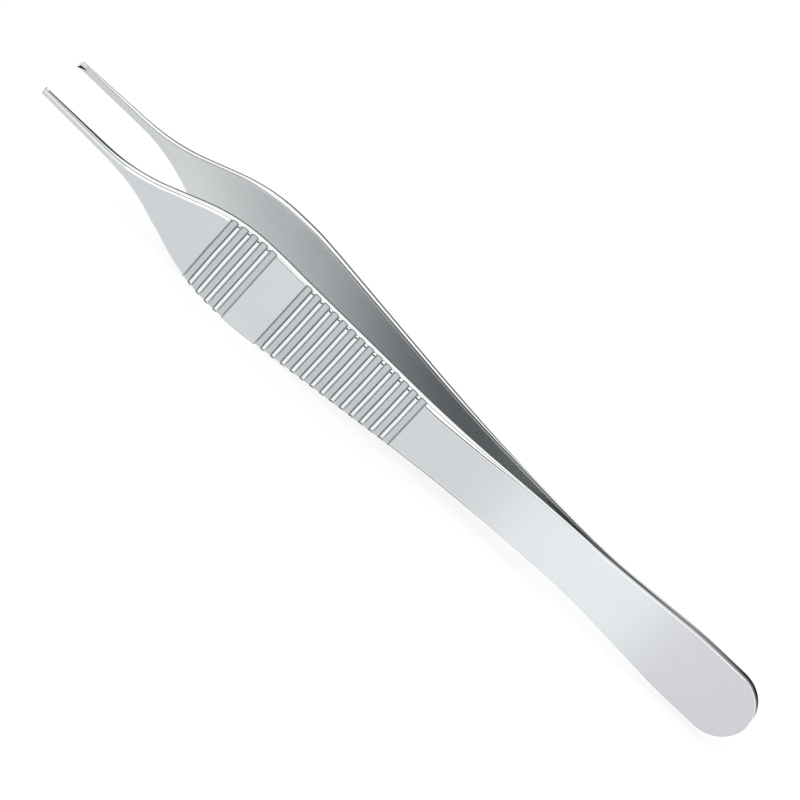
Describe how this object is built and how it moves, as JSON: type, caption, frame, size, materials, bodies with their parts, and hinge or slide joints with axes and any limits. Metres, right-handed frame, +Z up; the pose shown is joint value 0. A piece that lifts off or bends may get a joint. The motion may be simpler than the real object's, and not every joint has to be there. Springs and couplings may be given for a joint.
{
  "type": "tissue forceps (thumb forceps)",
  "caption": "Slim spring tissue forceps with a broad fluted grip, narrow neck, round butt and fine toothed tips.",
  "frame": {"origin": "centre of the bounding box in X and Y, at the level of the grip's lower edges, on which the forceps lie", "axes": "+X along the forceps towards the butt, tips at -X; Y across the spread of the arms, front arm at -Y; +Z up, the width of the arms"},
  "size_m": [0.12, 0.0142, 0.0119],
  "materials": {
    "satin_steel": "satin"
  },
  "bodies": {
    "root": {"front_arm": "satin_steel", "rear_arm": "satin_steel"}
  },
  "joints": []
}
